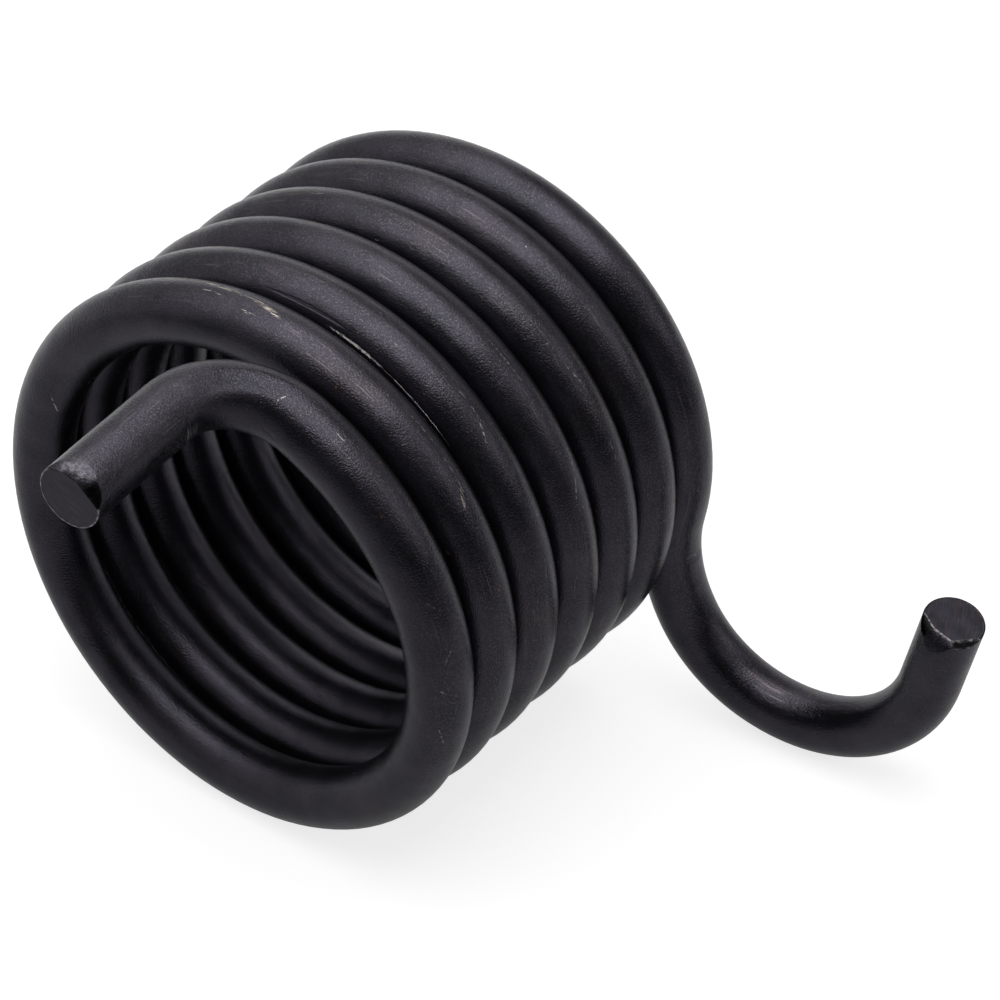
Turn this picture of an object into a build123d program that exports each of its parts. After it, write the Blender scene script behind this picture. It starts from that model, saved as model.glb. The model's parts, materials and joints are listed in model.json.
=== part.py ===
from build123d import *
import os
from math import asin, atan2, cos, degrees, hypot, radians, sin

# A heavy torsion spring, bent from one round steel wire: a close-wound coil, a leg that
# leaves its front end along the axis, and an open hook that curves away from its back end.
# The coil's axis lies along +Y and the hook reaches out along +X. The spring lies on its
# side, on the coil and on the hook's belly, with the middle of its base at the origin.
# Sizes are in millimetres, angles in degrees, and the radius of a bend is that of the
# wire's centre line.

# --- Driving dimensions: wire
wire_diameter = 10.0

# --- Driving dimensions: coil, wound right-handed from the front end to the back end
coil_mean_radius = 41.0
coil_gap = 0.75                 # clear space between neighbouring turns
coil_turns = 6.21

# --- Driving dimensions: front leg, bent a little past square to the wire
leg_bend_radius = 14.0
leg_bend_angle = 92.0
leg_straight = 22.5

# --- Driving dimensions: back hook, an easy lead-in and a tighter crook, with a straight tip
lead_radius = 30.0
lead_angle = 41.0
crook_radius = 23.7
crook_angle = 139.0
tip_straight = 14.3
hook_tilt = 3.0                 # the lead-in bends this much to the back of straight outwards

# --- Driving dimensions: sheared ends
edge_break = 0.4
# Flats that the cutter left on each end. Clock is the way that a flat faces, about the
# wire's heading from the outside of the last bend; depth is how far the flat bites in
# from the wire's surface at the end face; slope is its angle to the wire.
leg_flats = [
    {"clock": -56.0, "depth": 1.0, "slope": 47.0},
    {"clock": -88.0, "depth": 1.55, "slope": 41.0},
    {"clock": -110.0, "depth": 1.7, "slope": 64.0},
]
tip_flats = [
    {"clock": -117.0, "depth": 1.55, "slope": 39.0},
    {"clock": -98.0, "depth": 1.75, "slope": 60.0},
    {"clock": -44.0, "depth": 1.45, "slope": 67.0},
]

wire_radius = wire_diameter / 2
coil_pitch = wire_diameter + coil_gap
AXIS = Vector(0, 1, 0)          # the coil's axis, from front to back


# A running end of the wire is a plane: its origin is on the wire's centre line, z_dir is
# the heading, and x_dir points to the outside of the last bend.

def section(end):
    """The wire's round section at a running end."""
    return end * Circle(wire_radius)


def bend(end, towards, radius, angle):
    """Curve the wire from an end. Give the solid, the new end and the bend's centre."""
    side = (towards - end.z_dir * towards.dot(end.z_dir)).normalized()
    centre = end.origin + side * radius
    solid = revolve(section(end), Axis(centre, end.z_dir.cross(side)), angle)
    turn = radians(angle)
    heading = end.z_dir * cos(turn) + side * sin(turn)
    outside = end.z_dir * sin(turn) - side * cos(turn)
    return solid, Plane(centre + outside * radius, x_dir=outside, z_dir=heading), centre


def sheared_end(end, length, flats):
    """A straight run that ends in a square cut with broken edges and flats."""
    waste_side = 2 * wire_diameter
    rod = Cylinder(wire_radius, length, align=(Align.CENTER, Align.CENTER, Align.MIN))
    rod = chamfer(rod.edges().sort_by(Axis.Z)[-1], edge_break)
    for flat in flats:
        facing = Rot(0, 0, flat["clock"]) * Pos(wire_radius - flat["depth"], 0, length)
        waste = Box(
            waste_side, waste_side, waste_side, align=(Align.CENTER, Align.CENTER, Align.MIN)
        )
        rod -= facing * Rot(0, 90 - flat["slope"], 0) * waste
    return end * rod


def wound_coil():
    """The coil. Give the solid and its front and back ends, each heading out of the coil."""
    winding = Plane(origin=(0, 0, 0), x_dir=(1, 0, 0), z_dir=AXIS) * Helix(
        pitch=coil_pitch, height=coil_pitch * coil_turns, radius=coil_mean_radius
    )
    inlet = Plane(winding @ 0, x_dir=AXIS, z_dir=winding % 0)
    front = Plane(winding @ 0, x_dir=AXIS, z_dir=(winding % 0) * -1)
    back = Plane(winding @ 1, x_dir=AXIS, z_dir=winding % 1)
    return sweep(section(inlet), path=winding, is_frenet=True), front, back


def front_leg(front):
    """The leg, bent from the coil's front end to run forwards along the axis."""
    corner, end, _ = bend(front, AXIS * -1, leg_bend_radius, leg_bend_angle)
    return [corner, sheared_end(end, leg_straight, leg_flats)]


def back_hook(back):
    """The hook, bent away from the coil's axis. Give the solids and the crook's centre."""
    outwards = Vector(back.origin.X, 0, back.origin.Z).normalized()
    away = outwards.rotate(Axis((0, 0, 0), back.z_dir), -hook_tilt)
    lead, end, _ = bend(back, away, lead_radius, lead_angle)
    crook, tip, centre = bend(end, end.x_dir * -1, crook_radius, crook_angle)
    return [lead, crook, sheared_end(tip, tip_straight, tip_flats)], centre


def roll_to_rest(centre):
    """How far to roll the spring about its axis for hook and coil to share the floor."""
    reach = hypot(centre.X, centre.Z)
    bearing = atan2(centre.Z, centre.X)
    return degrees(bearing - asin((crook_radius - coil_mean_radius) / reach))


def torsion_spring():
    coil, front, back = wound_coil()
    hook, crook_centre = back_hook(back)
    wire = coil.fuse(*front_leg(front), *hook)
    lying = Rot(0, roll_to_rest(crook_centre), 0) * wire
    box = lying.bounding_box()
    return Pos(-box.center().X, -box.center().Y, -box.min.Z) * lying


os.makedirs("parts", exist_ok=True)
export_step(torsion_spring(), "parts/torsion_spring.step")
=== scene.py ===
"""A heavy torsion spring of black phosphated wire, on a pale studio floor.

Lengths are in metres. The wire is followed by its arc length: zero where the coil starts,
less on the leg, more on the coil and the hook. Round the wire, the crest is the side that
faces out of the coil, and the back is the side that faces the hook end.
"""
import json
from math import cos, pi, radians, sin, tan

import bmesh
import bpy
from mathutils import Matrix, Vector


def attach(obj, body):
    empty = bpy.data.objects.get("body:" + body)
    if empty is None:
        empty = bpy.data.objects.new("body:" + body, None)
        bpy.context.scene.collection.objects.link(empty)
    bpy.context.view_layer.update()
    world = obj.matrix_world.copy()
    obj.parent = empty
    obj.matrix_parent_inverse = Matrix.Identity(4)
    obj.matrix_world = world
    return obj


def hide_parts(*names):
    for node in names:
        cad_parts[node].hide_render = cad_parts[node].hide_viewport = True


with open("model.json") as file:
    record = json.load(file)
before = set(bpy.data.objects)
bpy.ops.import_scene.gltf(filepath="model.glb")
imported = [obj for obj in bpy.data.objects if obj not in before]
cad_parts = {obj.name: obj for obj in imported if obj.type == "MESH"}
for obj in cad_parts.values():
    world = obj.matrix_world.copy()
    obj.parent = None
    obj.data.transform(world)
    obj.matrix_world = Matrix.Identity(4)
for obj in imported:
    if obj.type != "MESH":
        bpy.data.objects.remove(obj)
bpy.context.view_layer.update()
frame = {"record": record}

MM = 0.001
AXIS = (0.0, 1.0, 0.0)

# --- The spring's sizes
wire_diameter = 10.0 * MM
coil_mean_radius = 41.0 * MM
coil_gap = 0.75 * MM
coil_turns = 6.21
leg_bend_radius = 14.0 * MM
leg_bend_angle = radians(92.0)
leg_straight = 22.5 * MM
lead_radius = 30.0 * MM
lead_angle = radians(41.0)
crook_radius = 23.7 * MM
crook_angle = radians(139.0)
tip_straight = 14.3 * MM
hook_tilt = radians(3.0)
unevenness = 0.07 * MM           # how far the skin may lie under the true round
edge_break = 0.15 * MM           # how far the sharp rim of a cut end is rounded
rim_inset = 0.12 * MM            # the cut ends stop this far short, to keep their rims inside
burr = 0.10 * MM                 # how high the rolled lip round a cut face stands
lip_drop = 0.02 * MM             # how far the lip's outer edge is below its top

wire_radius = wire_diameter / 2

# Flats that the cutter left on the ends. Each has the clock that it faces in degrees, how deep
# it bites at the end face in millimetres, its slope to the wire, how far round it goes to each
# side before it fades, its painted shade, and the painted highlight on its far edge.
leg_flats = [
    {"clock": -56.0, "depth": 1.0, "slope": 28.0, "span": 60.0, "painted_shade": 0.0, "painted_sill_light": 0.0},
    {"clock": -88.0, "depth": 1.55, "slope": 32.0, "span": 60.0, "painted_shade": 0.0, "painted_sill_light": 0.0},
    {"clock": -110.0, "depth": 1.7, "slope": 42.0, "span": 60.0, "painted_shade": 0.9, "painted_sill_light": 0.0},
]
tip_flats = [
    {"clock": -122.0, "depth": 1.45, "slope": 39.0, "span": 60.0, "painted_shade": 0.97, "painted_sill_light": 0.0},
    {"clock": -99.0, "depth": 1.75, "slope": 27.0, "span": 8.0, "painted_shade": 0.30, "painted_sill_light": 0.0},
    {"clock": -44.0, "depth": 1.45, "slope": 67.0, "span": 60.0, "painted_shade": 0.95, "painted_sill_light": 1.0},
]
span_fade = radians(34.0)        # how much further round a flat takes to fade out

# What else each cut end has: the painted highlight on its rim where it is round and where
# a flat cuts it, with less than nothing for painted shade (black); a smear of bright metal that
# is partly a painted highlight, and the clock that it faces; the way that the shear lines run;
# and how far the end face leans.
leg_cut = {
    "flats": leg_flats, "rim_painted_light_and_shade": 0.60, "chord_painted_light_and_shade": -0.3,
    "smear_and_highlight": 1.0, "smear_and_highlight_clock": -72.0, "lines": -5.0, "lean": 0.0,
}
tip_cut = {
    "flats": tip_flats, "rim_painted_light_and_shade": -0.9, "chord_painted_light_and_shade": 0.50,
    "smear_and_highlight": 0.0, "smear_and_highlight_clock": 0.0, "lines": -68.0, "lean": 0.4 * MM,
}

# The flat that the bending tool pressed on the leg's bend: its clock from the crest, how deep
# it is, and how it fades in and out on the way round the bend.
leg_bend_flat = {
    "middle": -10.0, "depth": 0.30 * MM, "fade_in": (0.02, 0.30), "fade_out": (0.92, 0.60),
}


# ---------------------------------------------------------------- sums in a node tree

class Value:
    """A number or a vector in a node tree, so that its sums read as sums."""

    def __init__(self, tree, socket):
        self.tree = tree
        self.socket = socket
        self.vector = socket.type == "VECTOR"

    def number_sum(self, operation, *others):
        made = self.tree.nodes.new("ShaderNodeMath")
        made.operation = operation
        for socket, value in zip(made.inputs, (self,) + others):
            feed(socket, value)
        return Value(self.tree, made.outputs[0])

    def vector_sum(self, operation, *others, result="Vector"):
        made = self.tree.nodes.new("ShaderNodeVectorMath")
        made.operation = operation
        for socket, value in zip(made.inputs, (self,) + others):
            feed(socket, value)
        return Value(self.tree, made.outputs[result])

    def scaled(self, factor):
        made = self.tree.nodes.new("ShaderNodeVectorMath")
        made.operation = "SCALE"
        feed(made.inputs[0], self)
        feed(made.inputs["Scale"], factor)
        return Value(self.tree, made.outputs[0])

    def __add__(self, other):
        return self.vector_sum("ADD", other) if self.vector else self.number_sum("ADD", other)

    def __sub__(self, other):
        if self.vector:
            return self.vector_sum("SUBTRACT", other)
        return self.number_sum("SUBTRACT", other)

    def __mul__(self, other):
        if self.vector and isinstance(other, Value) and other.vector:
            return self.vector_sum("MULTIPLY", other)
        return self.scaled(other) if self.vector else self.number_sum("MULTIPLY", other)

    def __truediv__(self, other):
        return self.number_sum("DIVIDE", other)

    __rmul__ = __mul__

    def __rsub__(self, other):
        return self.number_sum("MULTIPLY_ADD", -1.0, other)

    def __neg__(self):
        return self * -1.0

    def dot(self, other):
        return self.vector_sum("DOT_PRODUCT", other, result="Value")

    def cross(self, other):
        return self.vector_sum("CROSS_PRODUCT", other)

    def unit(self):
        return self.vector_sum("NORMALIZE")

    def length(self):
        return self.vector_sum("LENGTH", result="Value")

    def turned(self, axis, angle):
        """The vector turned about an axis through the origin."""
        made = self.tree.nodes.new("ShaderNodeVectorRotate")
        made.rotation_type = "AXIS_ANGLE"
        feed(made.inputs["Vector"], self)
        feed(made.inputs["Axis"], axis)
        feed(made.inputs["Angle"], angle)
        return Value(self.tree, made.outputs[0])

    def apart(self):
        """The vector's three numbers."""
        made = self.tree.nodes.new("ShaderNodeSeparateXYZ")
        feed(made.inputs[0], self)
        return [Value(self.tree, socket) for socket in made.outputs]

    def sine(self):
        return self.number_sum("SINE")

    def cosine(self):
        return self.number_sum("COSINE")

    def least(self, other):
        return self.number_sum("MINIMUM", other)

    def most(self, other):
        return self.number_sum("MAXIMUM", other)

    def clamped(self):
        return self.number_sum("MAXIMUM", 0.0).number_sum("MINIMUM", 1.0)

    def power(self, other):
        return self.number_sum("POWER", other)

    def eased(self, low, high, start=0.0, end=1.0):
        """A smooth step from start to end as the number goes from low to high."""
        made = self.tree.nodes.new("ShaderNodeMapRange")
        made.interpolation_type = "SMOOTHSTEP"
        for socket, value in zip(made.inputs, (self, low, high, start, end)):
            feed(socket, value)
        return Value(self.tree, made.outputs[0])


def feed(socket, value):
    """Join a node's input to a value, or set it to a constant."""
    if isinstance(value, Value):
        value.tree.links.new(value.socket, socket)
    else:
        socket.default_value = value


def node(tree, kind, inputs=None, **settings):
    """Add a node. Inputs go by name or by number."""
    made = tree.nodes.new(kind)
    for name, setting in settings.items():
        setattr(made, name, setting)
    for name, value in (inputs or {}).items():
        feed(made.inputs[name], value)
    return made


def constant(tree, vector):
    """A vector made of numbers and values."""
    made = node(tree, "ShaderNodeCombineXYZ", dict(enumerate(vector)))
    return Value(tree, made.outputs[0])


def number(tree, amount):
    """A plain number as a value."""
    made = tree.nodes.new("ShaderNodeValue")
    made.outputs[0].default_value = amount
    return Value(tree, made.outputs[0])


def noise(tree, where, scale, detail=2.0, roughness=0.5):
    """Smooth noise around one half."""
    inputs = {"Vector": where, "Scale": scale, "Detail": detail, "Roughness": roughness}
    return Value(tree, node(tree, "ShaderNodeTexNoise", inputs).outputs[0])


# ---------------------------------------------------------------- the wire

sides = 96
lean_per_row = radians(3.2)     # how much a bend turns from one row of points to the next


def named_inputs(tree, sizes):
    """Give a tree its inputs. Sizes go by name, a tuple for a vector."""
    for name, size in sizes.items():
        kind = "NodeSocketVector" if isinstance(size, tuple) else "NodeSocketFloat"
        socket = tree.interface.new_socket(name=name, in_out="INPUT", socket_type=kind)
        socket.default_value = size
    group = tree.nodes.new("NodeGroupInput")
    return {name: Value(tree, group.outputs[name]) for name in sizes}


def sheet(tree, rows):
    """A flat sheet of points. Give it with each point's way along it and round it, 0 to 1."""
    inputs = {"Size X": 1.0, "Size Y": 1.0, "Vertices X": rows + 1, "Vertices Y": sides + 1}
    grid = node(tree, "GeometryNodeMeshGrid", inputs)
    x, y, _ = Value(tree, tree.nodes.new("GeometryNodeInputPosition").outputs[0]).apart()
    return grid.outputs["Mesh"], x + 0.5, y + 0.5


def wrap(tree, mesh, place, lay, cut=(0.0, 0.0, 0.0), end_face=False):
    """Move a sheet's points to their places, and keep on them what the finishes read."""
    for name, value in (("lay", lay), ("cut", cut)):
        mesh = kept(tree, mesh, name, value, "FLOAT_VECTOR", "POINT")
    mesh = kept(tree, mesh, "end_face", end_face, "BOOLEAN", "FACE")
    moved = node(tree, "GeometryNodeSetPosition", {"Position": place})
    tree.links.new(mesh, moved.inputs["Geometry"])
    return moved.outputs[0]


def kept(tree, mesh, name, value, kind, domain):
    """The mesh with a named value on its points or its faces."""
    made = node(tree, "GeometryNodeStoreNamedAttribute", {"Name": name, "Value": value},
                data_type=kind, domain=domain)
    tree.links.new(mesh, made.inputs["Geometry"])
    return made.outputs[0]


def painted(tree, mesh, material, where=True):
    """The mesh with a material on some of its faces."""
    made = node(tree, "GeometryNodeSetMaterial", {"Material": material})
    if where is not True:
        tree.links.new(where, made.inputs["Selection"])
    tree.links.new(mesh, made.inputs["Geometry"])
    return made.outputs[0]


class End:
    """A running end of the wire: its place, its heading, its crest, and its arc length."""

    def __init__(self, place, heading, crest, reach, sense):
        self.place = place
        self.heading = heading
        self.crest = crest
        self.reach = reach
        self.sense = sense

    def back(self):
        return self.crest.cross(self.heading) * float(self.sense)


def uneven(tree, lay):
    """How far the wire's skin lies under the true round."""
    return noise(tree, lay, 90.0, 1.0) * unevenness


def skin(tree, end, clock, radius, along=0.0):
    """A point of the wire's skin, and how it lies, at a clock in radians from the crest."""
    facing = end.crest * clock.cosine() + end.back() * clock.sine()
    across, behind = clock.cosine() * radius, clock.sine() * radius
    lay = constant(tree, (end.reach + along * end.sense, across, behind))
    return facing, lay


def run(tree, rows, end_at, pressed=None):
    """A length of round wire. end_at(along) gives the running end there."""
    mesh, along, around = sheet(tree, rows)
    end = end_at(along)
    clock = around * (2 * pi)
    facing, lay = skin(tree, end, clock, wire_radius)
    sunken = uneven(tree, lay)
    if pressed:
        sunken = sunken + flattened(clock, along, **pressed)
    place = end.place + facing * (wire_radius - sunken)
    return wrap(tree, mesh, place, lay)


def flattened(clock, along, middle, depth, fade_in, fade_out):
    """How far the bending tool pressed the wire flat, round a clock and part of the way."""
    level = (clock - radians(middle)).cosine().most(0.5)
    chord = level.power(-1.0) * (wire_radius - depth)
    share = along.eased(*fade_in) * along.eased(*fade_out)
    return (wire_radius - chord).most(0.0) * share


def bent(end, towards, radius, angle, factor):
    """The running end part of the way round a bend, and what then faces the bend's centre."""
    side = (towards - end.heading * towards.dot(end.heading)).unit()
    axis = end.heading.cross(side)
    turn = angle * factor
    arm = side * radius
    place = end.place + arm - arm.turned(axis, turn)
    made = End(
        place,
        end.heading.turned(axis, turn),
        end.crest.turned(axis, turn),
        end.reach + radius * turn * float(end.sense),
        end.sense,
    )
    return made, side.turned(axis, turn), end.place + arm


def wound(tree, size, factor, sense):
    """The running end part of the way along the coil, heading forwards or backwards."""
    turn = size["Coil Turns"] * factor * (2 * pi)
    pitch = size["Wire Diameter"] + size["Coil Gap"]
    climb = pitch / (2 * pi)
    radius = size["Coil Radius"]
    crest = constant(tree, (1.0, 0.0, 0.0)).turned(AXIS, turn)
    forwards = constant(tree, (0.0, climb, -radius)).turned(AXIS, turn).unit()
    place = crest * radius + constant(tree, (0.0, climb * turn, 0.0))
    reach = turn * (radius * radius + climb * climb).power(0.5)
    return End(place, forwards * float(sense), crest, reach, sense)


def broken_line(row, start, steps):
    """Radius and height at a row, along straight steps of (rows, radius, height)."""
    radius, height = start
    low_radius, low_height, first = radius, height, 0
    for rows, next_radius, next_height in steps:
        share = ((row - first) / rows).clamped()
        radius = (next_radius - low_radius) * share + radius
        height = (next_height - low_height) * share + height
        low_radius, low_height, first = next_radius, next_height, first + rows
    return radius, height


def way(outside, sideways, clock):
    """The way across the wire that a clock in radians faces."""
    return outside * cos(clock) + sideways * sin(clock)


def cut_edge(tree, outside, sideways, facing, lay, flats):
    """At a clock: how far out the face reaches, how far down the cut does, and its tones."""
    out, down = number(tree, wire_radius - edge_break), number(tree, edge_break)
    # The tones are painted shade over a flat's bite and a painted highlight on its far edge.
    painted_shade, painted_sill_light = number(tree, 0.0), number(tree, 0.0)
    for flat in flats:
        slope, span = radians(flat["slope"]), radians(flat["span"])
        left = wire_radius - flat["depth"] * MM
        level = facing.dot(way(outside, sideways, radians(flat["clock"])))
        chord = level.most(0.05).power(-1.0) * left
        bite = (level * wire_radius - left) / tan(slope)
        bite = bite * level.eased(cos(span + span_fade), cos(span))
        deeper = (bite - down).eased(0.0, 0.3 * MM)
        # Painted highlight on the flat's far edge, and painted shade over its bite.
        painted_far_edge_light = bite.eased(0.30 * MM, 0.45 * MM) * flat["painted_sill_light"]
        painted_shade = (flat["painted_shade"] - painted_shade) * deeper + painted_shade
        painted_sill_light = (painted_far_edge_light - painted_sill_light) * deeper + painted_sill_light
        out, down = out.least(chord), down.most(bite)
    rough = noise(tree, lay, 1100.0, 2.0) - 0.5
    return out + rough * (0.06 * MM), down + rough * (0.10 * MM), painted_shade, painted_sill_light


# The rows of points on a cut end, from the middle of the face out to its lip, and from the lip
# down the skin: over the flats, close together behind them, and then further apart.
face_rows, lip_rows = 12, 3
flat_rows, near_rows = 7, 7
near_length = 5.0 * MM           # where the close rows stop
far_row_length = 1.4 * MM


def face_profile(tree, row, out, lip):
    """The end face: radius and height at a row, and how far the row is on the edge."""
    floor = number(tree, -burr)
    radius, height = broken_line(row, (number(tree, 0.0), floor), [
        (face_rows, out - 0.30 * MM, floor),
        (1, out - 0.14 * MM, floor),
        (1, out - 0.06 * MM, lip),
        (1, out, lip - lip_drop),
    ])
    return radius, height, row.eased(face_rows + 1.2, face_rows + 2.6)


def skin_profile(row, out, down, lip, far_rows, length):
    """The skin behind the face: radius and height at a row, and how far it is on the edge."""
    share = (row / float(flat_rows)).clamped()
    turn = share * (pi / 2)
    round_out = (turn.sine() + share) * 0.5
    round_down = (1.0 - turn.cosine() + share) * 0.5
    start = lip - lip_drop
    radius = (wire_radius - out) * round_out + out
    height = start - (down + start) * round_down
    past = row - float(flat_rows)
    near = (past / float(near_rows)).clamped()
    far = ((past - float(near_rows)) / float(far_rows)).clamped()
    height = height - (near_length - down) * near * near
    height = height - (length - near_length) * far
    return radius, height, (height - start).eased(-0.09 * MM, 0.0)


def sheared_end(tree, end, outside, length, cutting):
    """A straight run with a sheared end: the end face, and the skin behind it.

    The finishes read "cut". On the skin it holds how far a point is on an edge with a painted
    highlight (painted shade below zero), on a smear that is partly a painted highlight, and on a
    bite with painted shade. On the face it holds the edge's painted highlight and shade, and the
    place across and along the shear lines.
    """
    parts = []
    tip = end.place + end.heading * length
    sideways = end.heading.cross(outside)
    far_rows = int(round(length / far_row_length))
    for part in ("face", "skin"):
        rows = face_rows + lip_rows if part == "face" else flat_rows + near_rows + far_rows
        mesh, along, around = sheet(tree, rows)
        row, clock = along * float(rows), around * (2 * pi)
        facing, rim_lay = skin(tree, end, clock, wire_radius, length)
        out, down, painted_shade, painted_sill_light = cut_edge(
            tree, outside, sideways, facing, rim_lay, cutting["flats"])
        cut_in = (wire_radius - edge_break - out).eased(0.0, 0.2 * MM)
        # The rim's painted highlight, black painted shade where below zero, changes where a flat
        # cuts it.
        painted_edge_light_and_shade = cut_in * (cutting["chord_painted_light_and_shade"] - cutting["rim_painted_light_and_shade"]) + cutting["rim_painted_light_and_shade"]
        lip = noise(tree, rim_lay, 1400.0, 1.0).eased(0.45, 0.65) * burr - burr
        if part == "face":
            radius, height, edge = face_profile(tree, row, out, lip)
            lines = radians(cutting["lines"])
            cut = constant(tree, (
                edge * painted_edge_light_and_shade,
                facing.dot(way(outside, sideways, lines + pi / 2)) * radius,
                facing.dot(way(outside, sideways, lines)) * radius))
        else:
            radius, height, edge = skin_profile(row, out, down, lip, far_rows, length)
            # A flat's far edge gets a painted highlight.
            ridge = row.eased(flat_rows - 1.4, flat_rows - 0.2)
            ridge = ridge * row.eased(flat_rows + 1.0, flat_rows + 0.2)
            # The smear is partly smeared metal and partly a painted highlight.
            smear_and_highlight = facing.dot(way(outside, sideways, radians(cutting["smear_and_highlight_clock"])))
            smear_and_highlight = smear_and_highlight.eased(0.80, 0.92)
            smear_and_highlight = smear_and_highlight * height.eased(-3.4 * MM, -1.2 * MM, 0.0, cutting["smear_and_highlight"])
            # The bite is darkened with painted shade, except under the smear.
            painted_bite_shade = painted_shade * row.eased(flat_rows, flat_rows - 0.6) * (1.0 - smear_and_highlight)
            cut = constant(tree, (edge * painted_edge_light_and_shade + ridge * painted_sill_light, smear_and_highlight, painted_bite_shade))
        facing, lay = skin(tree, end, clock, radius, height + length)
        sunken = uneven(tree, lay) * (radius / wire_radius)
        lean = facing.dot(sideways) * (radius / wire_radius) * cutting["lean"]
        height = height + lean * (height / length + 1.0).clamped().power(4.0)
        place = tip + facing * (radius - sunken) + end.heading * height
        parts.append(wrap(tree, mesh, place, lay, cut, part == "face"))
    return parts


def spring_tree(skin_material, face_material):
    """The whole spring. It is wound about +Y, then rolled until coil and hook share the floor."""
    tree = bpy.data.node_groups.new("bent wire torsion spring", "GeometryNodeTree")
    size = named_inputs(tree, {
        "Wire Diameter": wire_diameter,
        "Coil Radius": coil_mean_radius,
        "Coil Gap": coil_gap,
        "Coil Turns": coil_turns,
        "Leg Bend Radius": leg_bend_radius,
        "Leg Bend Angle": leg_bend_angle,
        "Lead Radius": lead_radius,
        "Lead Angle": lead_angle,
        "Crook Radius": crook_radius,
        "Crook Angle": crook_angle,
        "Hook Tilt": hook_tilt,
        "Coil Middle": (0.0, 0.0, 0.0),
    })

    def turns_rows(angle):
        return int(round(angle / lean_per_row))

    def leg_bend(factor):
        start = wound(tree, size, 0.0, -1)
        axis = constant(tree, (0.0, -1.0, 0.0))
        return bent(start, axis, size["Leg Bend Radius"], size["Leg Bend Angle"], factor)

    def lead(factor):
        start = wound(tree, size, 1.0, 1)
        away = start.crest.turned(start.heading, -size["Hook Tilt"])
        return bent(start, away, size["Lead Radius"], size["Lead Angle"], factor)

    def crook(factor):
        start, away, _ = lead(1.0)
        return bent(start, away, size["Crook Radius"], size["Crook Angle"], factor)

    parts = [
        run(tree, turns_rows(leg_bend_angle), lambda f: leg_bend(f)[0], leg_bend_flat),
        run(tree, turns_rows(2 * pi * coil_turns), lambda f: wound(tree, size, f, 1)),
        run(tree, turns_rows(lead_angle), lambda f: lead(f)[0]),
        run(tree, turns_rows(crook_angle), lambda f: crook(f)[0]),
    ]
    end, towards, _ = leg_bend(1.0)
    parts += sheared_end(tree, end, -towards, leg_straight - rim_inset, leg_cut)
    end, towards, crook_centre = crook(1.0)
    parts += sheared_end(tree, end, -towards, tip_straight - rim_inset, tip_cut)

    joined = tree.nodes.new("GeometryNodeJoinGeometry")
    for part in parts:
        tree.links.new(part, joined.inputs[0])
    welded = node(tree, "GeometryNodeMergeByDistance", {"Distance": 0.002 * MM})
    tree.links.new(joined.outputs[0], welded.inputs["Geometry"])

    x, _, z = crook_centre.apart()
    reach = (x * x + z * z).power(0.5)
    drop = (size["Crook Radius"] - size["Coil Radius"]) / reach
    roll = z.number_sum("ARCTAN2", x) - drop.number_sum("ARCSINE")
    turn = node(tree, "FunctionNodeAxisAngleToRotation", {"Axis": AXIS, "Angle": roll})
    half = (size["Wire Diameter"] + size["Coil Gap"]) * size["Coil Turns"] * 0.5
    middle = size["Coil Middle"] - constant(tree, (0.0, half, 0.0))
    laid = node(tree, "GeometryNodeTransform", {"Translation": middle})
    tree.links.new(turn.outputs[0], laid.inputs["Rotation"])
    tree.links.new(welded.outputs[0], laid.inputs["Geometry"])
    smooth = tree.nodes.new("GeometryNodeSetShadeSmooth")
    tree.links.new(laid.outputs[0], smooth.inputs["Geometry"])
    real = tree.nodes.new("GeometryNodeRealizeInstances")
    tree.links.new(smooth.outputs[0], real.inputs["Geometry"])
    tree.interface.new_socket(
        name="Geometry", in_out="OUTPUT", socket_type="NodeSocketGeometry")
    faces = node(
        tree, "GeometryNodeInputNamedAttribute", {"Name": "end_face"}, data_type="BOOLEAN")
    finished = painted(tree, real.outputs[0], skin_material)
    finished = painted(tree, finished, face_material, faces.outputs["Attribute"])
    tree.links.new(finished, tree.nodes.new("NodeGroupOutput").inputs[0])
    return tree


def coil_middle():
    """The middle of the coil's axis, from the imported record's own mount."""
    places = {mount["name"]: mount["pos_m"] for mount in frame["record"]["mounts"]}
    return tuple(places["coil_bore"])


def drop_empty_slots(mesh):
    """Keep only the material slots that hold a material."""
    held = [material for material in mesh.materials if material]
    numbers = [held.index(mesh.materials[face.material_index]) for face in mesh.polygons]
    mesh.materials.clear()
    for material in held:
        mesh.materials.append(material)
    mesh.polygons.foreach_set("material_index", numbers)


def make_spring(skin_material, face_material):
    """Grow the wire in a node tree, and keep the result as one plain closed mesh."""
    tree = spring_tree(skin_material, face_material)
    seed = bpy.data.objects.new("wire_seed", bpy.data.meshes.new("wire_seed"))
    bpy.context.scene.collection.objects.link(seed)
    modifier = seed.modifiers.new("bent_wire", "NODES")
    modifier.node_group = tree
    middle = tree.interface.items_tree["Coil Middle"].identifier
    modifier[middle] = coil_middle()
    grown = seed.evaluated_get(bpy.context.evaluated_depsgraph_get())
    mesh = bpy.data.meshes.new_from_object(grown)
    bpy.data.objects.remove(seed)
    drop_empty_slots(mesh)
    shell = bmesh.new()
    shell.from_mesh(mesh)
    bmesh.ops.recalc_face_normals(shell, faces=shell.faces)
    shell.to_mesh(mesh)
    shell.free()
    mesh.name = "bent_wire_spring"
    spring = bpy.data.objects.new("bent_wire_spring", mesh)
    bpy.context.scene.collection.objects.link(spring)
    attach(spring, "root")
    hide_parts("torsion_spring")
    return spring


# ---------------------------------------------------------------- finishes

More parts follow.
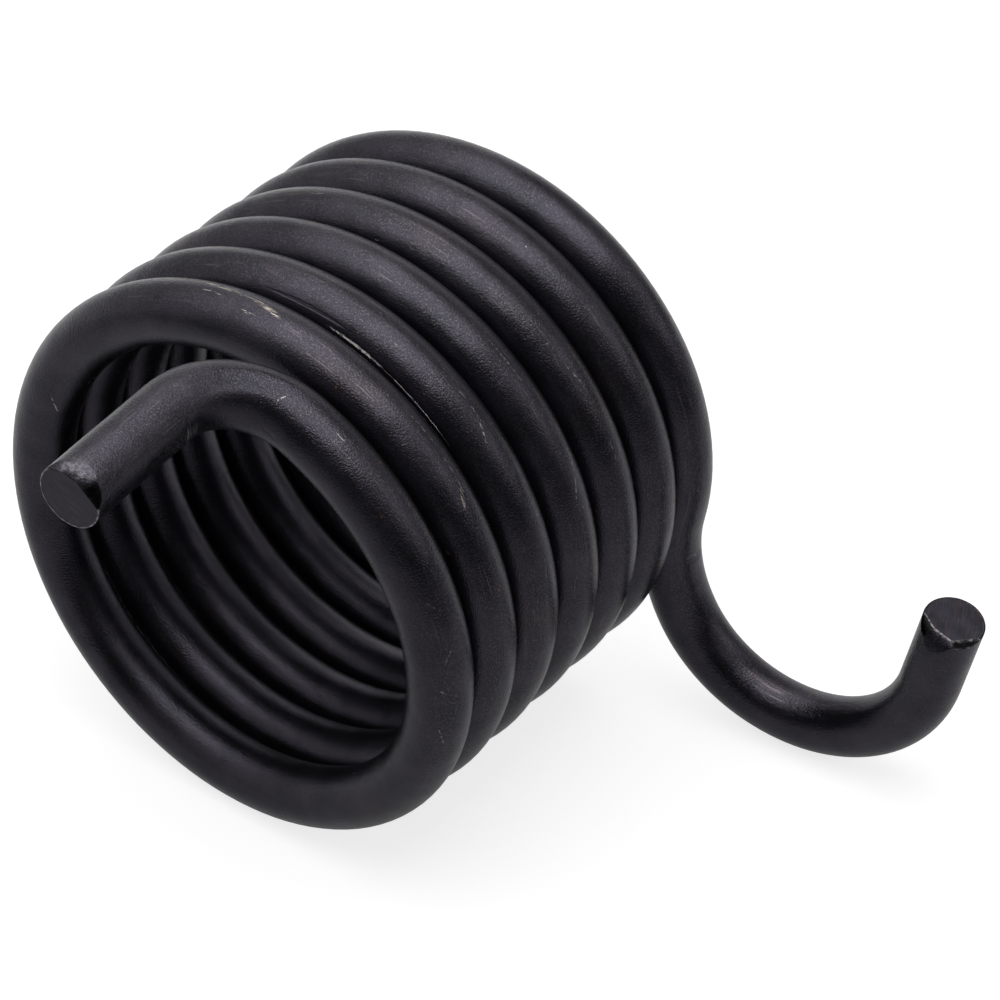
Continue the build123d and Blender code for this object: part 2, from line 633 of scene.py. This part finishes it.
# Marks of wear on the wire's skin, in millimetres and degrees. Each is (arc length, clock,
# length, width, lean to the wire).
# The rubs are bright lines of wear, painted near white so that they also stand in for glints.
rubs_and_glints = [
    (511.0, -69.8, 12.0, 0.50, -0.5),       # where the next turn rubbed a bright line, painted near white as a glint
    (523.0, -72.2, 17.0, 0.18, -0.9),
]
scratches = [
    (783.5, 3.0, 9.5, 0.22, 0.0),
    (527.5, 1.0, 6.5, 0.20, -3.0),
    (531.5, -11.0, 5.0, 0.30, -20.0),
    (268.0, 10.5, 7.0, 0.25, 4.0),
    (276.0, 8.5, 9.0, 0.25, -3.0),
    (1048.5, -10.0, 4.0, 0.22, 14.0),
    (802.0, 6.0, 8.0, 0.20, -20.0),
    (804.6, -6.0, 3.4, 0.34, -18.0),
    (1060.7, -5.7, 4.2, 0.22, 0.0),
    (545.0, 14.0, 3.5, 0.20, -7.0),
    (553.0, -4.0, 5.0, 0.18, -7.0),
    (1002.0, -10.5, 3.4, 0.24, 9.0),
    (192.0, -126.0, 4.8, 0.25, 32.0),
    (-4.8, -21.0, 3.3, 0.22, 52.0),
    (5.0, -9.5, 1.9, 0.25, 0.0),
    (30.0, -35.0, 5.0, 0.16, 40.0),
    (38.0, -30.0, 3.6, 0.14, -35.0),
    (44.0, -42.0, 4.4, 0.16, 62.0),
    (52.0, -47.0, 4.0, 0.16, 20.0),
    (1608.5, -3.0, 2.6, 0.30, 78.0),
]
scuffs = [
    (235.5, 8.5, 12.0, 0.8, -4.0),
    (242.0, 0.0, 5.5, 1.3, -10.0),
    (243.6, -6.5, 3.4, 0.8, -14.0),
    (234.0, -11.0, 4.0, 0.4, -4.0),
    (240.8, -26.0, 3.0, 0.8, -8.0),
    (278.6, -2.0, 3.4, 0.7, -24.0),
]
# The blooms are a pinkish tint of the film, lightened where the hook's highlight lies, so partly
# a painted highlight.
blooms_and_highlights = [
    (1641.5, -15.0, 12.0, 1.7, 2.0),
    (494.0, -22.0, 5.0, 1.0, -18.0),
]
flecks = [
    (284.3, -69.4, 0.9, 0.6, 40.0),
    (10.7, 24.3, 0.5, 0.35, 0.0),
    (16.2, -39.4, 0.5, 0.35, 0.0),
    (256.7, -51.0, 0.45, 0.35, 0.0),
    (292.4, -5.7, 0.45, 0.4, 0.0),
]
dents = [
    (495.6, -36.0, 5.0, 2.6, 30.0),
    (502.0, -56.0, 16.0, 0.7, 0.0),
    (1014.5, -65.0, 1.0, 0.6, 0.0),
    (1020.2, -50.7, 1.0, 0.6, 0.0),
    (-24.2, -68.0, 0.8, 6.0, 0.0),
    (-4.0, -88.0, 5.0, 0.8, -14.0),
    (1609.0, -4.0, 3.0, 5.0, 0.0),
]


def finish(name):
    """A material with its nodes, and its shader."""
    material = bpy.data.materials.new(name)
    material.use_nodes = True
    return material, material.node_tree, material.node_tree.nodes["Principled BSDF"]


def attribute(tree, name, output):
    """What the wire's points carry."""
    return Value(tree, node(tree, "ShaderNodeAttribute", attribute_name=name).outputs[output])


def object_place(tree):
    return Value(tree, tree.nodes.new("ShaderNodeTexCoord").outputs["Object"])


def ray(tree, kind):
    """1 for a ray of this kind, and 0 for any other."""
    return Value(tree, tree.nodes.new("ShaderNodeLightPath").outputs[kind])


def seen_straight(tree):
    """1 where the camera looks straight at something, or at it through glass."""
    return ray(tree, "Is Camera Ray").most(ray(tree, "Is Transmission Ray"))


def blend(tree, share, low, high):
    """One colour gives way to another."""
    made = node(tree, "ShaderNodeMix", data_type="RGBA")
    for index, value in ((0, share), (6, low), (7, high)):
        feed(made.inputs[index], value)
    return Value(tree, made.outputs[2])


def spots(tree, where, scale, radius, share):
    """Round spots in a share of the cells of a scattered pattern."""
    cells = node(tree, "ShaderNodeTexVoronoi", {"Vector": where, "Scale": scale})
    near = Value(tree, cells.outputs["Distance"]).eased(radius, radius * 0.5)
    pick = node(tree, "ShaderNodeSeparateColor", {"Color": Value(tree, cells.outputs["Color"])})
    return near * Value(tree, pick.outputs[0]).eased(1.0 - share, 1.0 - share + 0.02)


def marked(tree, lay, marks):
    """Where the marks of a list lie: 1 on a mark, 0 beside it."""
    covered = None
    for reach, clock, length, width, lean in marks:
        clock = radians(clock)
        turned = Matrix.Rotation(clock, 3, "X") @ Matrix.Rotation(radians(-lean), 3, "Y")
        middle = (reach * MM, wire_radius * cos(clock), wire_radius * sin(clock))
        size = (length / 2 * MM, wire_radius, width / 2 * MM)
        into = node(tree, "ShaderNodeMapping", {
            "Vector": lay, "Location": middle, "Rotation": turned.to_euler(), "Scale": size},
            vector_type="TEXTURE")
        mark = Value(tree, into.outputs[0]).length().eased(1.0, 0.55)
        covered = mark if covered is None else covered.most(mark)
    return covered


def frayed(tree, lay, scale, amount):
    """The lay with ragged sides, so that what is drawn on it isn't clean."""
    inputs = {"Vector": lay, "Scale": scale, "Detail": 2.0}
    colour = Value(tree, node(tree, "ShaderNodeTexNoise", inputs).outputs["Color"])
    return lay + colour.vector_sum("SUBTRACT", (0.5, 0.5, 0.5)) * amount


def streak_lines(tree, lay):
    """Short thin lines along the wire, close together."""
    lines = noise(tree, lay * constant(tree, (480.0, 6000.0, 6000.0)), 1.0, 2.0)
    return lines.eased(0.49, 0.61)


# How high the finishes stand in relief.
grain_height = 0.066 * MM        # the peened grain
ripple_height = 0.11 * MM        # slow waves in the wire
draw_height = 0.008 * MM         # lines left by the drawing die
dent_depth = 0.06 * MM
shear_height = 0.035 * MM        # lines across the sheared faces
tear_height = 0.05 * MM          # slow waves on the sheared faces


def bumped(tree, shader, height):
    """Raise a finish by a height in metres."""
    bump = node(tree, "ShaderNodeBump", {"Strength": 1.0, "Distance": 1.0, "Height": height})
    feed(shader.inputs["Normal"], Value(tree, bump.outputs[0]))


def phosphate(tree, place, outward, cloud, patch):
    """The bare black: clouded, browner in patches, with a sparkle of fine grit."""
    base = blend(
        tree, cloud.eased(0.30, 0.70), (0.0365, 0.0345, 0.0445, 1), (0.052, 0.048, 0.0625, 1))
    base = blend(tree, patch.eased(0.54, 0.76) * 0.40, base, (0.056, 0.045, 0.047, 1))
    grit = noise(tree, place, 4700.0, 1.0)
    sparkle = grit.eased(0.51, 0.71) * (outward * 0.45 + 0.30)
    return blend(tree, sparkle, base, (0.13, 0.118, 0.13, 1))


def handled(tree, lay, place, base, outward, patch):
    """Wear, marks and painted highlights on the base colour; give it with scratches, scuffs,
    rubs.
    """
    ragged = frayed(tree, lay, 2500.0, 0.35 * MM)

    # Handling wears the crest grey, in broken streaks along the wire.
    streak = noise(tree, lay * constant(tree, (160.0, 3800.0, 3800.0)), 1.0, 2.0)
    worn = streak.eased(0.60, 0.74) * outward * patch.eased(0.40, 0.56)
    speck = spots(tree, place, 620.0, 0.10, 0.10) * outward * patch.eased(0.40, 0.60)
    # The blooms: a pinkish tint, lightened as a painted highlight where the hook's highlight
    # lies.
    bloom_and_highlight = marked(tree, ragged, blooms_and_highlights) * streak.eased(0.38, 0.66)
    base = blend(tree, worn * 0.5, base, (0.19, 0.17, 0.17, 1))
    base = blend(tree, speck * 0.8, base, (0.36, 0.33, 0.31, 1))
    base = blend(tree, bloom_and_highlight * 0.7, base, (0.155, 0.125, 0.135, 1))

    broken = noise(tree, place, 1800.0, 1.0).eased(0.42, 0.60)
    beads = noise(tree, place, 1500.0, 1.0).eased(0.38, 0.54) * 0.6 + 0.4
    scratch = marked(tree, ragged, scratches) * broken
    scuff = marked(tree, ragged, scuffs) * streak_lines(tree, lay)
    # The rubs are painted near white, as glints as well as wear.
    rub_and_glint = marked(tree, ragged, rubs_and_glints) * beads
    base = blend(tree, scuff, base, (0.50, 0.44, 0.38, 1))
    base = blend(tree, scratch * 0.75, base, (0.40, 0.37, 0.36, 1))
    base = blend(tree, marked(tree, ragged, flecks), base, (0.30, 0.13, 0.07, 1))
    base = blend(tree, rub_and_glint, base, (0.90, 0.88, 0.86, 1))
    return base, scratch, scuff, rub_and_glint


def phosphated_wire():
    """Black phosphate on drawn wire: grit, draw lines, rubs on the outward crest as painted
    glints.
    """
    material, tree, shader = finish("phosphated_wire")
    lay, place = attribute(tree, "lay", "Vector"), object_place(tree)
    edge, smear_and_highlight_share, painted_bite_shade = attribute(tree, "cut", "Vector").apart()
    _, crest, _ = lay.apart()
    outward = (crest / wire_radius).eased(0.30, 0.98)
    cloud = noise(tree, place, 150.0, 2.0)
    patch = noise(tree, place, 55.0, 2.0)
    drawn = noise(tree, lay * constant(tree, (90.0, 2400.0, 2400.0)), 1.0, 2.0)
    dent = marked(tree, lay, dents)

    base = phosphate(tree, place, outward, cloud, patch)
    base, scratch, scuff, rub_and_glint = handled(tree, lay, place, base, outward, patch)

    # At the cut ends the bites are painted shade, near black, and the smear is painted bright,
    # partly as smeared metal and partly as a painted highlight.
    mottle = noise(tree, place, 1300.0, 2.0).eased(0.38, 0.66)
    base = blend(tree, painted_bite_shade, base, (0.006, 0.006, 0.007, 1))
    base = blend(tree, smear_and_highlight_share * (mottle * 0.75 + 0.25), base, (0.20, 0.185, 0.215, 1))
    # Painted highlight in beads on the cut rims, and painted shade where the rim's value is below
    # zero.
    base = painted_edges(tree, edge, place, base)
    feed(shader.inputs["Base Color"], base)
    # Less metal on the rubs lets their near-white painted glint show from every side.
    feed(shader.inputs["Metallic"], 0.9 - rub_and_glint * 0.6 - scuff * 0.3)

    rough = cloud.eased(0.25, 0.75, 0.20, 0.27) + (drawn - 0.5) * 0.08
    rough = rough + dent * 0.10 - scratch * 0.05 + smear_and_highlight_share * 0.12
    feed(shader.inputs["Roughness"], rough)

    height = noise(tree, place, 3900.0, 1.0) * grain_height
    height = height + noise(tree, place, 260.0, 0.0) * ripple_height + drawn * draw_height
    bumped(tree, shader, height - dent * dent_depth)
    return material


def painted_edges(tree, edge, place, base):
    """Painted highlight in beads on a sharp edge; below zero, painted shade in black."""
    beads = noise(tree, place, 1500.0, 1.0).eased(0.40, 0.58) * 0.8 + 0.2
    base = blend(tree, edge.clamped() * beads, base, (0.50, 0.46, 0.47, 1))
    return blend(tree, (-edge).clamped(), base, (0.008, 0.008, 0.009, 1))


def sheared_steel():
    """The cut ends: dull steel under a thin black film, with fine shear lines across."""
    material, tree, shader = finish("sheared_steel")
    cut, place = attribute(tree, "cut", "Vector"), object_place(tree)
    edge, across, along = cut.apart()
    cloud = noise(tree, place, 420.0, 3.0)
    where = constant(tree, (across * 2300.0, along * 280.0, 0.0))
    lines = noise(tree, where, 1.0, 3.0)
    stain = noise(tree, where * 0.4, 1.0, 2.0)
    base = blend(
        tree, cloud.eased(0.3, 0.7), (0.046, 0.0425, 0.056, 1), (0.064, 0.059, 0.077, 1))
    base = blend(tree, stain.eased(0.52, 0.68) * 0.4, base, (0.076, 0.056, 0.056, 1))
    base = blend(tree, lines.eased(0.50, 0.70) * 0.5, base, (0.10, 0.092, 0.105, 1))
    # Painted highlight in beads on the cut rims, and painted shade where the rim's value is below
    # zero.
    base = painted_edges(tree, edge, place, base)
    feed(shader.inputs["Base Color"], base)
    feed(shader.inputs["Metallic"], 0.85)
    feed(shader.inputs["Roughness"], cloud.eased(0.2, 0.8, 0.36, 0.50))
    bumped(tree, shader, lines * shear_height + cloud * tear_height)
    return material


# ---------------------------------------------------------------- studio

def facing_matrix(azimuth, elevation, roll, place):
    """Where something stands that looks along its own -Z, as a camera does."""
    out = Vector((sin(azimuth) * cos(elevation), -cos(azimuth) * cos(elevation), sin(elevation)))
    level = Vector((cos(azimuth), sin(azimuth), 0.0))
    rise = out.cross(level)
    across = level * cos(roll) + rise * sin(roll)
    up = rise * cos(roll) - level * sin(roll)
    matrix = Matrix((across, up, out)).transposed().to_4x4()
    matrix.translation = place
    return matrix


camera_azimuth, camera_elevation, camera_roll = radians(34.70), radians(37.18), radians(1.58)
camera_place = (0.22257, -0.30008, 0.34530)
lens_length, sensor_width = 113.65, 36.0    # in millimetres


def make_camera():
    data = bpy.data.cameras.new("camera")
    data.sensor_width = sensor_width
    data.lens = lens_length
    data.clip_start = 0.02
    camera = bpy.data.objects.new("camera", data)
    camera.matrix_world = facing_matrix(
        camera_azimuth, camera_elevation, camera_roll, camera_place)
    bpy.context.scene.collection.objects.link(camera)
    bpy.context.scene.camera = camera


floor_half = 4.0


def make_floor():
    """A pale floor. The camera sees it nearly white, but it throws little light back."""
    mesh = bpy.data.meshes.new("floor")
    half = floor_half
    corners = [(-half, -half, 0.0), (half, -half, 0.0), (half, half, 0.0), (-half, half, 0.0)]
    mesh.from_pydata(corners, [], [(0, 1, 2, 3)])
    floor = bpy.data.objects.new("floor", mesh)
    bpy.context.scene.collection.objects.link(floor)
    material, tree, shader = finish("pale_floor")
    mesh.materials.append(material)
    seen, mirrored = seen_straight(tree), ray(tree, "Is Glossy Ray")
    feed(shader.inputs["Base Color"], (0.45, 0.45, 0.45, 1.0))
    feed(shader.inputs["Roughness"], 0.9)
    feed(shader.inputs["Specular IOR Level"], 0.0)
    feed(shader.inputs["Emission Color"], (1.0, 1.0, 1.0, 1.0))
    # In the metal, the floor is bright where it sweeps up behind the spring.
    behind = object_place(tree).dot((-sin(camera_azimuth), cos(camera_azimuth), 0.0))
    sweep = behind.eased(-0.25, 0.42, 0.0, 0.66)
    feed(shader.inputs["Emission Strength"], (seen * 0.78).most(mirrored * sweep))


# Softboxes over the spring: where each one's corners are on the floor's plan, and how bright
# its face is.
softbox_height = 0.32
softboxes = [
    ((-0.12, -0.175), (0.155, 0.125), 1.90),
    ((-0.29, -0.29), (0.14, 0.21), 0.58),
]

# Pale panels round the spring: azimuth, elevation, how wide each is from its middle to the
# middle of its soft edge, how wide that edge is, and its strength.
panels = [
    (-150.0, 6.0, 24.0, 34.0, 0.82),        # the backdrop
    (-68.0, 28.0, 42.0, 30.0, 0.52),        # the left wall
    (-85.0, 6.0, 40.0, 24.0, 0.38),
    (120.0, 30.0, 16.0, 26.0, 0.86),        # a panel on the right
    (165.0, 26.0, 16.0, 26.0, 0.40),
    (-140.0, 50.0, 16.0, 22.0, 0.60),
    (90.0, 50.0, 22.0, 24.0, 0.40),
]
room_glow = 0.04                            # the dark room behind the camera


def make_softboxes():
    for index, (low, high, brightness) in enumerate(softboxes):
        data = bpy.data.lights.new("softbox_%d" % index, "AREA")
        data.shape = "RECTANGLE"
        data.size, data.size_y = high[0] - low[0], high[1] - low[1]
        data.energy = pi * brightness * data.size * data.size_y
        lamp = bpy.data.objects.new("softbox_%d" % index, data)
        middle = ((low[0] + high[0]) / 2, (low[1] + high[1]) / 2, softbox_height)
        lamp.location = middle
        lamp.visible_camera = False
        bpy.context.scene.collection.objects.link(lamp)


def make_world():
    """Pale panels round the spring, and a dark room behind the camera."""
    world = bpy.data.worlds.new("studio")
    bpy.context.scene.world = world
    world.use_nodes = True
    tree = world.node_tree
    sky = tree.nodes["Background"]
    sight = Value(tree, tree.nodes.new("ShaderNodeTexCoord").outputs["Generated"]).unit()
    light = None
    for azimuth, elevation, wide, edge, strength in panels:
        azimuth, elevation = radians(azimuth), radians(elevation)
        towards = (
            sin(azimuth) * cos(elevation), -cos(azimuth) * cos(elevation), sin(elevation))
        inner, outer = radians(wide - edge / 2), radians(wide + edge / 2)
        glow = sight.dot(towards).eased(cos(outer), cos(inner), room_glow, strength)
        light = glow if light is None else light.most(glow)
    feed(sky.inputs["Color"], (1.0, 1.0, 1.0, 1.0))
    feed(sky.inputs["Strength"], light + (1.0 - light) * seen_straight(tree))


make_camera()
make_spring(phosphated_wire(), sheared_steel())
make_floor()
make_softboxes()
make_world()
bpy.context.scene.view_settings.view_transform = "Standard"
